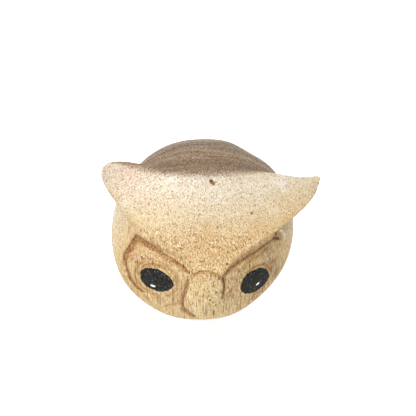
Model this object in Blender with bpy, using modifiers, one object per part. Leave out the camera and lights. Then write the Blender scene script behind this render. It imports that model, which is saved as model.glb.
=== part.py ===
"""Owl-head hood ornament: a carved wooden head with painted eyes, and the fixings that hold it to a hood.

Frame: +Z up, the owl faces -Y, and the origin is the middle of the stud's flat lower end.
Left and right are as seen from the front, so left is -X.
Run it with: blender --background --python part.py
"""

import math

import bpy
import numpy as np
from mathutils import Matrix, Vector

MM = 0.001
COLLECTION = "owl_hood_ornament"
CUTTERS = "cutters"

# Driving dimensions.
HEAD_R = 30 * MM  # radius of the ball that the head is carved from
BASE_DROP = 25 * MM  # from the ball's centre down to its flat base
SEAT_Z = 22 * MM  # the outside of the hood skin, above the stud's lower end
GRIP = 2.5 * MM  # room for the hood skin between gasket and backing washer, nut slackened
THREAD_R = 3 * MM  # M6
GAP = 0.3 * MM  # left between neighbouring solids
RUN_GAP = 0.06 * MM  # radial clearance of the nut on the stud

# Base stack, from the hood skin up.
GASKET_T = 1.5 * MM
GASKET_R = 15.5 * MM
HEAD_Z = SEAT_Z + GASKET_T + GAP + BASE_DROP
BASE_Z = HEAD_Z - BASE_DROP

# The carving chart: arc lengths over the ball from the middle of the forehead, u to the right and v up.
FOREHEAD_TILT = math.radians(55)

# The forehead is planed to a shallow dome, measured along and across the chart's middle direction.
FOREHEAD_H = 29 * MM  # its height over the ball's centre
FOREHEAD_RX = 110 * MM  # curvature radius from ear to ear
FOREHEAD_RV = 60 * MM  # curvature radius from the crown to the beak

# Outline of the forehead and its two ear tufts, in chart millimetres, anticlockwise from the left tuft's back.
FOREHEAD_OUTLINE = [
    (-17.0, 19.0), (-22.8, 19.3), (-26.7, 17.8), (-27.9, 14.0), (-26.5, 9.2), (-24.0, 5.0), (-21.0, 0.2),
    (-19.0, -3.2), (-9.6, -8.8), (-5.4, -11.0), (-3.8, -15.0), (1.0, -14.0), (6.0, -15.8), (8.9, -11.1),
    (14.4, -6.9), (21.4, -1.6), (25.2, 2.0), (29.6, 6.9), (31.6, 11.6), (31.8, 14.4), (26.8, 14.1),
    (22.6, 15.6), (15.0, 17.4), (0.0, 16.6), (-12.0, 17.2),
]  # fmt: skip
WALL_TAPER = 0.06  # the outline draws in by this share of the height above the ball
LEFT_BEVEL = 3.6 * MM  # soft edge of the left brow
EDGE_ROUND = 1.4 * MM  # every other edge of the forehead
FRONT_FILLET = 0.8 * MM
BACK_FILLET = 6.0 * MM
BACK_V = (6 * MM, 15 * MM)  # the fillet grows from the front to the back between these
BEVEL_U = (2 * MM, -6 * MM)  # the left brow's soft edge starts and is full at these

# Facial discs in chart millimetres. Their inner ends lie under the forehead and the beak.
DISCS = {
    "left": [
        (0.0, -8.0), (-10.0, -2.0), (-24.0, -1.4), (-27.6, -7.4), (-33.8, -13.2), (-34.2, -19.0), (-31.4, -25.5),
        (-25.0, -32.0), (-14.0, -38.0), (0.0, -40.0),
    ],
    "right": [
        (0.0, -8.0), (12.0, -3.0), (26.6, 0.0), (31.5, -5.0), (35.0, -14.0), (32.5, -21.0), (26.0, -29.0),
        (16.0, -37.0), (0.0, -40.0),
    ],
}  # fmt: skip
CHIN_V = (-38 * MM, -26 * MM)  # the discs deepen between these, from the chin up to the brow
DISC_DEPTH = {"left": 1.0 * MM, "right": 1.5 * MM}
DISC_RAMP = {"left": 2.6 * MM, "right": 6.0 * MM}

# Each eye sits on a nearly flat facet: the way it faces (azimuth and latitude) and its distance from the centre.
FACETS = {
    "left": (math.radians(-23), math.radians(2), 26.9 * MM),
    "right": (math.radians(35), math.radians(5), 27.2 * MM),
}
FACET_R = 200 * MM  # the facets' own slight roundness
FACET_BLEND = 1.5 * MM

# Beak in chart millimetres: its outline, and how far it stands out from the ball at the top and at the tip.
BEAK_OUTLINE = [
    (-2.6, -14.0), (1.0, -12.8), (5.2, -14.0), (7.2, -18.0), (7.0, -23.6), (5.2, -28.0), (0.6, -33.4), (-1.8, -33.4),
    (-5.0, -30.6), (-7.4, -28.2), (-5.6, -22.0), (-4.6, -18.0),
]  # fmt: skip
BEAK_TOP = (-14 * MM, 0.8 * MM)
BEAK_TIP = (-32 * MM, 2.6 * MM)
BEAK_CROWN = 0.03  # the beak's sides fall away by this share of the distance from its middle
BEAK_MIDDLE = 1.0 * MM
BEAK_ROUND = 1.0 * MM
BEAK_FILLET = 0.6 * MM

# The block isn't quite round: two smaller balls fill out the left cheek and the right of the crown.
# Each has its centre (right, out through the forehead, up the chart, in millimetres) and its radius.
BULGES = {"left_cheek": ((-1.9, 0.0, -3.6), 28.2 * MM), "right_crown": ((1.4, 0.0, 1.1), 29.1 * MM)}
BULGE_BLEND = 1.5 * MM

# Eyes: round patches at these chart places.
EYES = {"left": (-18.7, -20.8), "right": (22.6, -22.2)}
EYE_R = 6.0 * MM
EYE_T = 2.0 * MM
GLINTS = {"left": (-20.8, -24.4), "right": (25.0, -24.8)}
GLINT_R = 0.85 * MM
GLINT_T = 0.8 * MM

# Fixings.
INSERT_R = 4.6 * MM
INSERT_FLANGE_R = 6.5 * MM
INSERT_FLANGE_T = 1.2 * MM
INSERT_LEN = 13 * MM
STUD_TOP = BASE_Z + 11 * MM
STUD_CHAMFER = 0.8 * MM
PIN_R = 1.5 * MM
PIN_Y = 12 * MM
PIN_TOP = BASE_Z + 8 * MM
PIN_BOTTOM = SEAT_Z - 5 * MM
PIN_CHAMFER = 0.4 * MM
GASKET_CHAMFER = 0.3 * MM
WASHER_R = 9 * MM
WASHER_BORE = 3.2 * MM
WASHER_T = 1.6 * MM
WASHER_CHAMFER = 0.2 * MM
SPRING_R = 5.7 * MM
SPRING_T = 1.6 * MM
SPRING_CUT = 1.2 * MM
NUT_FLATS = 10 * MM
NUT_T = 5 * MM

OVERCUT = 1.0 * MM  # how far a cutter runs past the face it opens
SPRING_SKEW = math.radians(25)  # slant of the cut through the spring washer
INSERT_RIDGES = 6
INSERT_RIDGE_H = 0.6 * MM
INSERT_FLANK = 0.3  # width of a ridge's flank, as a share of the pitch

# Fineness of the meshes.
BISECTIONS = 24
TINY = 1e-9  # keeps a division off zero
MERGE = 0.01 * MM
ROUND_STEPS = 40
PIN_STEPS = 20
EYE_STEPS = 36
GLINT_STEPS = 16
CARVE_STEPS = 7
CARVE_VOXEL = 0.7 * MM
CARVE_KEEP = 0.08

# Material looks: base colour (linear), roughness, metallic.
WOOD = ("carved_wood", (0.72, 0.56, 0.38), 0.5, 0.0)
BLACK_PAINT = ("black_paint", (0.018, 0.02, 0.022), 0.35, 0.0)
WHITE_PAINT = ("white_paint", (0.9, 0.9, 0.88), 0.3, 0.0)
BRASS = ("brass", (0.72, 0.5, 0.2), 0.35, 1.0)
STEEL = ("zinc_steel", (0.6, 0.61, 0.62), 0.35, 1.0)
RUBBER = ("gasket_rubber", (0.02, 0.02, 0.02), 0.8, 0.0)


def clear_scene():
    for item in list(bpy.data.objects):
        bpy.data.objects.remove(item, do_unlink=True)


def make_collection(name):
    group = bpy.data.collections.new(name)
    bpy.context.scene.collection.children.link(group)
    return group


def make_material(look):
    name, colour, roughness, metallic = look
    material = bpy.data.materials.get(name)
    if material:
        return material
    material = bpy.data.materials.new(name)
    material.use_nodes = True
    shader = material.node_tree.nodes["Principled BSDF"]
    shader.inputs["Base Color"].default_value = (*colour, 1)
    shader.inputs["Roughness"].default_value = roughness
    shader.inputs["Metallic"].default_value = metallic
    return material


# Carving: a function that is negative inside the head, built up from the ball, the forehead, the discs and the beak.


def smooth_step(value, start, end):
    t = np.clip((value - start) / (end - start), 0, 1)
    return t * t * (3 - 2 * t)


def smooth_union(a, b, blend):
    mix = np.clip(0.5 + 0.5 * (b - a) / blend, 0, 1)
    return b * (1 - mix) + a * mix - blend * mix * (1 - mix)


def smooth_cut(a, b, blend):
    """The part that a and b share, with its edge rounded."""
    return -smooth_union(-a, -b, blend)


def forehead_axes():
    """Unit vectors: to the right, up the chart, and out through the middle of the forehead."""
    tilt = FOREHEAD_TILT
    right = np.array([1.0, 0.0, 0.0])
    up = np.array([0.0, math.sin(tilt), math.cos(tilt)])
    ahead = np.array([0.0, -math.cos(tilt), math.sin(tilt)])
    return right, up, ahead


def chart(points):
    """Chart coordinates (u, v) of points measured from the ball's centre."""
    unit = points / np.linalg.norm(points, axis=1)[:, None]
    right, up, ahead = (unit @ axis for axis in forehead_axes())
    arc = HEAD_R * np.arccos(np.clip(ahead, -1, 1))
    reach = np.maximum(np.hypot(right, up), TINY)
    return np.stack([right * arc / reach, up * arc / reach], axis=1)


def compass(azimuth, latitude):
    """A unit vector from an azimuth, turned right from straight ahead (-Y), and a latitude."""
    level = math.cos(latitude)
    return np.array([math.sin(azimuth) * level, -math.cos(azimuth) * level, math.sin(latitude)])


def chart_direction(u, v):
    """The direction, from the ball's centre, of a chart place in millimetres."""
    right, up, ahead = forehead_axes()
    arc = math.hypot(u, v) * MM / HEAD_R
    turn = math.atan2(v, u)
    sideways = right * math.cos(turn) + up * math.sin(turn)
    return Vector(ahead * math.cos(arc) + sideways * math.sin(arc))


def rounded_outline(corners, rounds=2):
    """Cuts the corners of a closed outline, which turns a few corner points into a smooth curve."""
    points = np.array(corners, dtype=float) * MM
    for _ in range(rounds):
        following = np.roll(points, -1, axis=0)
        early = 0.75 * points + 0.25 * following
        late = 0.25 * points + 0.75 * following
        points = np.stack([early, late], axis=1).reshape(-1, 2)
    return points


def outline_distance(uv, outline):
    """Signed chart distance to a closed outline: negative inside."""
    nearest = np.full(len(uv), np.inf)
    inside = np.zeros(len(uv), dtype=bool)
    for start, end in zip(outline, np.roll(outline, -1, axis=0)):
        along = end - start
        rel = uv - start
        t = np.clip(rel @ along / (along @ along), 0, 1)
        away = rel - t[:, None] * along
        nearest = np.minimum(nearest, np.hypot(away[:, 0], away[:, 1]))
        crosses = (start[1] > uv[:, 1]) != (end[1] > uv[:, 1])
        rise = end[1] - start[1] if end[1] != start[1] else 1.0
        reach = start[0] + (uv[:, 1] - start[1]) * (end[0] - start[0]) / rise
        inside ^= crosses & (uv[:, 0] < reach)
    return np.where(inside, -nearest, nearest)


def chart_values(points):
    """Everything about the carving that depends only on a point's direction from the ball's centre."""
    uv = chart(points)
    forehead = outline_distance(uv, rounded_outline(FOREHEAD_OUTLINE))
    beak = outline_distance(uv, rounded_outline(BEAK_OUTLINE))
    recess = np.zeros(len(uv))
    for side, corners in DISCS.items():
        inside = -outline_distance(uv, rounded_outline(corners))
        recess = np.maximum(recess, DISC_DEPTH[side] * smooth_step(inside, 0, DISC_RAMP[side]))
    recess = recess * smooth_step(uv[:, 1], *CHIN_V)
    back = smooth_step(uv[:, 1], *BACK_V)
    left_front = smooth_step(uv[:, 0], *BEVEL_U) * (1 - back)
    fall = (BEAK_TOP[0] - uv[:, 1]) / (BEAK_TOP[0] - BEAK_TIP[0])
    beak_r = HEAD_R + BEAK_TOP[1] + (BEAK_TIP[1] - BEAK_TOP[1]) * fall
    beak_r = beak_r - BEAK_CROWN * (uv[:, 0] - BEAK_MIDDLE) ** 2 / MM
    return {
        "forehead": forehead,
        "beak": beak,
        "recess": recess,
        "beak_r": beak_r,
        "fillet": FRONT_FILLET + (BACK_FILLET - FRONT_FILLET) * back,
        "edge": EDGE_ROUND + (LEFT_BEVEL - EDGE_ROUND) * left_front,
    }


def head_field(points, values):
    """Negative inside the head. Points are measured from the ball's centre."""
    right, up, ahead = forehead_axes()
    x, v, h = points @ right, points @ up, points @ ahead
    radius = np.linalg.norm(points, axis=1)
    ball = radius - HEAD_R
    for centre, bulge_r in BULGES.values():
        away = points - (centre[0] * right + centre[1] * ahead + centre[2] * up) * MM
        ball = smooth_union(ball, np.linalg.norm(away, axis=1) - bulge_r, BULGE_BLEND)
    taper = WALL_TAPER * (radius - HEAD_R)
    wedge = values["forehead"] * radius / HEAD_R + taper
    ball = ball + values["recess"]
    for azimuth, latitude, reach in FACETS.values():
        facing = compass(azimuth, latitude)
        flat = np.linalg.norm(points - (reach - FACET_R) * facing, axis=1) - FACET_R
        ball = smooth_cut(ball, flat, FACET_BLEND)
    body = smooth_union(ball, wedge, values["fillet"])
    top = h - (FOREHEAD_H - x**2 / (2 * FOREHEAD_RX) - v**2 / (2 * FOREHEAD_RV))
    body = smooth_cut(body, top, values["edge"])
    beak = smooth_cut(values["beak"] * radius / HEAD_R + taper, radius - values["beak_r"], BEAK_ROUND)
    return smooth_union(body, beak, BEAK_FILLET)


def carve(points):
    """Moves points along their rays from the ball's centre onto the carved surface."""
    unit = points / np.linalg.norm(points, axis=1)[:, None]
    values = chart_values(unit)
    low = np.full(len(unit), 0.5 * HEAD_R)
    high = np.full(len(unit), 2.0 * HEAD_R)
    for _ in range(BISECTIONS):
        middle = (low + high) / 2
        inside = head_field(unit * middle[:, None], values) < 0
        low = np.where(inside, middle, low)
        high = np.where(inside, high, middle)
    return unit * low[:, None]


# Building blocks.


def add_part(item, name, look, group):
    """Names an object, gives it its material and moves it to its collection."""
    item.name = name
    item.data.name = name
    if look:
        item.data.materials.clear()
        item.data.materials.append(make_material(look))
    for owner in list(item.users_collection):
        owner.objects.unlink(item)
    group.objects.link(item)
    return item


def add_modifier(item, kind, **settings):
    modifier = item.modifiers.new(kind.title(), kind)
    for key, value in settings.items():
        setattr(modifier, key, value)
    return modifier


def bake(item):
    """Replaces an object's mesh with the one its modifiers make."""
    graph = bpy.context.evaluated_depsgraph_get()
    mesh = bpy.data.meshes.new_from_object(item.evaluated_get(graph))
    item.modifiers.clear()
    item.data = mesh


def boolean(item, operation, other):
    add_modifier(item, "BOOLEAN", operation=operation, solver="EXACT", object=other)


def add_cutter(item, name, cutters):
    add_part(item, name, None, cutters)
    item.hide_render = True
    item.display_type = "WIRE"
    return item


def rod(radius, bottom, top, steps=ROUND_STEPS):
    """An upright cylinder on the Z axis between two heights."""
    bpy.ops.mesh.primitive_cylinder_add(vertices=steps, radius=radius, depth=top - bottom)
    item = bpy.context.object
    item.data.transform(Matrix.Translation((0, 0, (bottom + top) / 2)))
    return item


def turned(profile, steps=ROUND_STEPS):
    """A solid of revolution about Z from (radius, z) points that run down its outer side."""
    mesh = bpy.data.meshes.new("profile")
    edges = [(i, i + 1) for i in range(len(profile) - 1)]
    mesh.from_pydata([(radius, 0, z) for radius, z in profile], edges, [])
    item = bpy.data.objects.new("profile", mesh)
    bpy.context.scene.collection.objects.link(item)
    add_modifier(
        item, "SCREW", angle=math.tau, steps=steps, render_steps=steps, use_merge_vertices=True, merge_threshold=MERGE
    )
    return item


def ring(outer, inner, bottom, top, chamfer, steps=ROUND_STEPS):
    """A washer-like turned ring with chamfered outer corners."""
    profile = [
        (inner, top),
        (outer - chamfer, top),
        (outer, top - chamfer),
        (outer, bottom + chamfer),
        (outer - chamfer, bottom),
        (inner, bottom),
        (inner, top),
    ]
    return turned(profile, steps)


def head_place(direction):
    """The carved surface's point in a direction from the ball's centre."""
    return Vector(carve(np.array([direction]))[0]) + Vector((0, 0, HEAD_Z))


def plug(place, radius, inner_depth, outer_height, steps):
    """A cylinder that stands across the carved surface at a chart place, aimed at the ball's centre."""
    direction = chart_direction(*place)
    surface = head_place(direction)
    item = rod(radius, -inner_depth, outer_height, steps)
    item.matrix_world = Matrix.Translation(surface) @ direction.to_track_quat("Z", "Y").to_matrix().to_4x4()
    return item


# The head, its eyes and its glints.


def carved_block(cutters):
    """The carved head before its sockets and holes are cut."""
    bpy.ops.mesh.primitive_ico_sphere_add(subdivisions=CARVE_STEPS, radius=HEAD_R)
    head = bpy.context.object
    mesh = head.data
    points = np.empty(len(mesh.vertices) * 3)
    mesh.vertices.foreach_get("co", points)
    mesh.vertices.foreach_set("co", carve(points.reshape(-1, 3)).ravel())
    mesh.transform(Matrix.Translation((0, 0, HEAD_Z)))
    add_modifier(head, "REMESH", mode="VOXEL", voxel_size=CARVE_VOXEL)
    add_modifier(head, "DECIMATE", ratio=CARVE_KEEP)
    bake(head)
    base = add_cutter(rod(2 * HEAD_R, BASE_Z - 2 * HEAD_R, BASE_Z), "base_cutter", cutters)
    boolean(head, "DIFFERENCE", base)
    bake(head)
    return head


def copy_of(item, name, look, group):
    twin = item.copy()
    twin.data = item.data.copy()
    bpy.context.scene.collection.objects.link(twin)
    return add_part(twin, name, look, group)


def add_eye(side, block, parts, cutters):
    """An eye and its glint, which fill their sockets flush with the carved surface."""
    place = EYES[side]
    glint_place = GLINTS[side]
    eye = copy_of(block, side + "_eye", BLACK_PAINT, parts)
    keep = add_cutter(plug(place, EYE_R, EYE_T, 2 * EYE_T, EYE_STEPS), side + "_eye_keeper", cutters)
    boolean(eye, "INTERSECT", keep)
    glint_socket = plug(glint_place, GLINT_R + GAP, GLINT_T + GAP, 2 * EYE_T, GLINT_STEPS)
    boolean(eye, "DIFFERENCE", add_cutter(glint_socket, side + "_glint_socket", cutters))
    glint = copy_of(block, side + "_glint", WHITE_PAINT, parts)
    keep = add_cutter(plug(glint_place, GLINT_R, GLINT_T, 2 * EYE_T, GLINT_STEPS), side + "_glint_keeper", cutters)
    boolean(glint, "INTERSECT", keep)
    return add_cutter(plug(place, EYE_R + GAP, EYE_T + GAP, 3 * EYE_T, EYE_STEPS), side + "_eye_socket", cutters)


def add_head(parts, cutters):
    """The wood, with a socket for each eye and the bores for the insert and the pin."""
    head = carved_block(cutters)
    sockets = [add_eye(side, head, parts, cutters) for side in EYES]
    add_part(head, "owl_head", WOOD, parts)
    insert_bore = [
        (0, BASE_Z + INSERT_LEN + GAP),
        (INSERT_R + GAP, BASE_Z + INSERT_LEN + GAP),
        (INSERT_R + GAP, BASE_Z + INSERT_FLANGE_T + GAP),
        (INSERT_FLANGE_R + GAP, BASE_Z + INSERT_FLANGE_T + GAP),
        (INSERT_FLANGE_R + GAP, BASE_Z - OVERCUT),
        (0, BASE_Z - OVERCUT),
    ]
    insert_hole = add_cutter(turned(insert_bore), "insert_bore", cutters)
    pin_hole = add_cutter(rod(PIN_R + GAP, BASE_Z - OVERCUT, PIN_TOP + GAP, PIN_STEPS), "pin_bore", cutters)
    pin_hole.location.y = PIN_Y
    for cutter in [*sockets, insert_hole, pin_hole]:
        boolean(head, "DIFFERENCE", cutter)


# The fixings under the head.


def add_insert(parts):
    """A threaded wood insert: coarse outer ridges, a flange, and a bore for the stud."""
    top = BASE_Z + INSERT_LEN
    shoulder = BASE_Z + INSERT_FLANGE_T
    bore = THREAD_R + GAP
    root = INSERT_R - INSERT_RIDGE_H
    pitch = (top - shoulder) / INSERT_RIDGES
    flank = INSERT_FLANK * pitch
    profile = [(bore, top)]
    for i in range(INSERT_RIDGES):
        crest = top - (i + 0.5) * pitch
        profile += [(root, crest + flank), (INSERT_R, crest), (root, crest - flank)]
    profile += [(root, shoulder), (INSERT_FLANGE_R, shoulder), (INSERT_FLANGE_R, BASE_Z)]
    profile += [(bore, BASE_Z), (bore, top)]
    add_part(turned(profile), "threaded_insert", BRASS, parts)


def chamfered_rod(radius, bottom, top, chamfer, steps):
    """A solid rod with both ends chamfered."""
    profile = [
        (0, top),
        (radius - chamfer, top),
        (radius, top - chamfer),
        (radius, bottom + chamfer),
        (radius - chamfer, bottom),
        (0, bottom),
    ]
    return turned(profile, steps)


def add_stud_and_pin(parts):
    """The stud, whose lower end is at the origin's height, and the pin behind it."""
    stud = chamfered_rod(THREAD_R, 0, STUD_TOP, STUD_CHAMFER, ROUND_STEPS)
    add_part(stud, "mounting_stud", STEEL, parts)
    pin = chamfered_rod(PIN_R, PIN_BOTTOM, PIN_TOP, PIN_CHAMFER, PIN_STEPS)
    add_part(pin, "locating_pin", STEEL, parts)
    pin.location.y = PIN_Y


def add_gasket(parts, cutters):
    top = SEAT_Z + GASKET_T
    gasket = ring(GASKET_R, THREAD_R + GAP, SEAT_Z, top, GASKET_CHAMFER)
    add_part(gasket, "base_gasket", RUBBER, parts)
    hole = add_cutter(rod(PIN_R + GAP, SEAT_Z - OVERCUT, top + OVERCUT, PIN_STEPS), "gasket_pin_hole", cutters)
    hole.location.y = PIN_Y
    boolean(gasket, "DIFFERENCE", hole)


def add_washers(parts, cutters):
    """A wide backing washer against the underside of the hood, and a split spring washer below it."""
    top = SEAT_Z - GRIP
    backing = ring(WASHER_R, WASHER_BORE, top - WASHER_T, top, WASHER_CHAMFER)
    add_part(backing, "backing_washer", STEEL, parts)
    spring_top = top - WASHER_T - GAP
    spring = ring(SPRING_R, WASHER_BORE, spring_top - SPRING_T, spring_top, WASHER_CHAMFER)
    add_part(spring, "spring_washer", STEEL, parts)
    bpy.ops.mesh.primitive_cube_add(size=1)
    cut = add_cutter(bpy.context.object, "spring_split", cutters)
    cut.data.transform(Matrix.Diagonal((SPRING_R, SPRING_CUT, 4 * SPRING_T, 1)))
    cut.location = (SPRING_R, 0, spring_top - SPRING_T / 2)
    cut.rotation_euler.x = SPRING_SKEW
    boolean(spring, "DIFFERENCE", cut)


def add_nut(parts, cutters):
    """A hexagonal nut with its corners chamfered top and bottom, turning on the stud."""
    top = SEAT_Z - GRIP - WASHER_T - GAP - SPRING_T - GAP
    bottom = top - NUT_T
    corner_r = NUT_FLATS / math.sqrt(3)
    nut = rod(corner_r, bottom, top, 6)
    add_part(nut, "hex_nut", STEEL, parts)
    chamfer = corner_r - NUT_FLATS / 2
    rounding = ring(corner_r + RUN_GAP, THREAD_R + RUN_GAP, bottom, top, chamfer)
    boolean(nut, "INTERSECT", add_cutter(rounding, "nut_rounding", cutters))


def build():
    clear_scene()
    parts = make_collection(COLLECTION)
    cutters = make_collection(CUTTERS)
    add_head(parts, cutters)
    add_insert(parts)
    add_stud_and_pin(parts)
    add_gasket(parts, cutters)
    add_washers(parts, cutters)
    add_nut(parts, cutters)


build()
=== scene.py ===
"""Looks of the carved owl-head hood ornament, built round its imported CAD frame.

The wood is carved again here at fine scale, on the CAD head's own dimensions, and the painted eyes, the studio
and the fixings under the head follow from the frame. Chart places are in millimetres over the ball that the head
is carved from: u to the right and v up from the middle of the forehead. Left is -X.
"""

import math

import bmesh
import bpy
import numpy as np
from mathutils import Matrix, Vector


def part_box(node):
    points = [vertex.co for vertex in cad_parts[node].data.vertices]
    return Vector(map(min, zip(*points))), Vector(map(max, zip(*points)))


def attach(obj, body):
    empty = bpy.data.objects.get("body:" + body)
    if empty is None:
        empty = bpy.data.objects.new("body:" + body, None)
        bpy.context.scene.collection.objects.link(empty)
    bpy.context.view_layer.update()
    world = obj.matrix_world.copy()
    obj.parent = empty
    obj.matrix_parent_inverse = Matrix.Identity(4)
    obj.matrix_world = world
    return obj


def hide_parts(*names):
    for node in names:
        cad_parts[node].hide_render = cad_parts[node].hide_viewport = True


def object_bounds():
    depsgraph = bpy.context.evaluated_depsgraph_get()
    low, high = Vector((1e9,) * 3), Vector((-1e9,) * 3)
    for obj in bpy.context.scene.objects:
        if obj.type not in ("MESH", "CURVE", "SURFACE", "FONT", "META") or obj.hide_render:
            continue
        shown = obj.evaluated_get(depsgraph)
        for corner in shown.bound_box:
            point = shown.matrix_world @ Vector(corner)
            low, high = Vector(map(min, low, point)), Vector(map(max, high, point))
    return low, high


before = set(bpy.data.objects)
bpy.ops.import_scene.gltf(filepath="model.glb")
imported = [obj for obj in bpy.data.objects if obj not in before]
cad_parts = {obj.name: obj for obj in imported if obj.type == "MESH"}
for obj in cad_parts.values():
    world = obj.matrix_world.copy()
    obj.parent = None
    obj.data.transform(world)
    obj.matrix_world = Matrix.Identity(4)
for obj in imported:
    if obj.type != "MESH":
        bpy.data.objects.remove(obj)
cad_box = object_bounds()

MM = 0.001

# The carved block, as in the CAD.
HEAD_R = 30 * MM
BASE_DROP = 25 * MM  # from the ball's centre down to the flat base
FOREHEAD_TILT = math.radians(55)
# Unit vectors: to the right, up the chart, and out through the middle of the forehead.
FOREHEAD_AXES = (
    np.array([1.0, 0.0, 0.0]),
    np.array([0.0, math.sin(FOREHEAD_TILT), math.cos(FOREHEAD_TILT)]),
    np.array([0.0, -math.cos(FOREHEAD_TILT), math.sin(FOREHEAD_TILT)]),
)
FOREHEAD_H = 29 * MM
FOREHEAD_RX = 110 * MM
FOREHEAD_RV = 60 * MM
FOREHEAD_OUTLINE = [
    (-17.0, 19.0), (-22.8, 19.3), (-26.7, 17.8), (-27.9, 14.0), (-26.5, 9.2), (-24.0, 5.0), (-21.0, 0.2),
    (-19.0, -3.2), (-9.6, -8.8), (-5.4, -11.0), (-3.8, -15.0), (1.0, -14.0), (6.0, -15.8), (8.9, -11.1),
    (14.4, -6.9), (21.4, -1.6), (25.2, 2.0), (29.6, 6.9), (31.1, 11.6), (31.2, 14.3), (26.8, 14.1),
    (22.6, 15.6), (15.0, 17.4), (0.0, 16.6), (-12.0, 17.2),
]  # fmt: skip
WALL_TAPER = 0.06
LEFT_BEVEL = 3.6 * MM
EDGE_ROUND = 1.4 * MM
FRONT_FILLET = 0.8 * MM
BACK_FILLET = 6.0 * MM
BACK_V = (6 * MM, 15 * MM)
BEVEL_U = (2 * MM, -6 * MM)
DISCS = {
    "left": [
        (0.0, -8.0), (-10.0, -2.0), (-24.0, -1.4), (-27.6, -7.4), (-33.8, -13.2), (-34.2, -19.0), (-31.4, -25.5),
        (-25.0, -32.0), (-14.0, -38.0), (0.0, -40.0),
    ],
    "right": [
        (0.0, -8.0), (12.0, -3.0), (26.6, 0.0), (31.5, -5.0), (35.0, -14.0), (32.5, -21.0), (26.0, -29.0),
        (16.0, -37.0), (0.0, -40.0),
    ],
}  # fmt: skip
CHIN_V = (-38 * MM, -26 * MM)
DISC_DEPTH = {"left": 1.0 * MM, "right": 1.5 * MM}
DISC_RAMP = {"left": 2.6 * MM, "right": 6.0 * MM}
FACETS = {
    "left": (math.radians(-23), math.radians(2), 26.9 * MM),
    "right": (math.radians(35), math.radians(5), 27.2 * MM),
}
FACET_R = 200 * MM
FACET_BLEND = 1.5 * MM
BEAK_OUTLINE = [
    (-2.6, -14.0), (1.0, -12.8), (5.2, -14.0), (7.2, -18.0), (7.0, -23.6), (5.2, -28.0), (0.6, -33.4),
    (-1.8, -33.4), (-5.0, -30.6), (-7.4, -28.2), (-5.6, -22.0), (-4.6, -18.0),
]  # fmt: skip
BEAK_TOP = (-14 * MM, 0.8 * MM)
BEAK_TIP = (-32 * MM, 2.6 * MM)
BEAK_CROWN = 0.03
BEAK_MIDDLE = 1.0 * MM
BEAK_ROUND = 1.0 * MM
BEAK_FILLET = 0.6 * MM
BULGES = {"left_cheek": ((-1.9, 0.0, -3.6), 28.2 * MM), "right_crown": ((1.4, 0.0, 1.1), 29.1 * MM)}
BULGE_BLEND = 1.5 * MM

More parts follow.
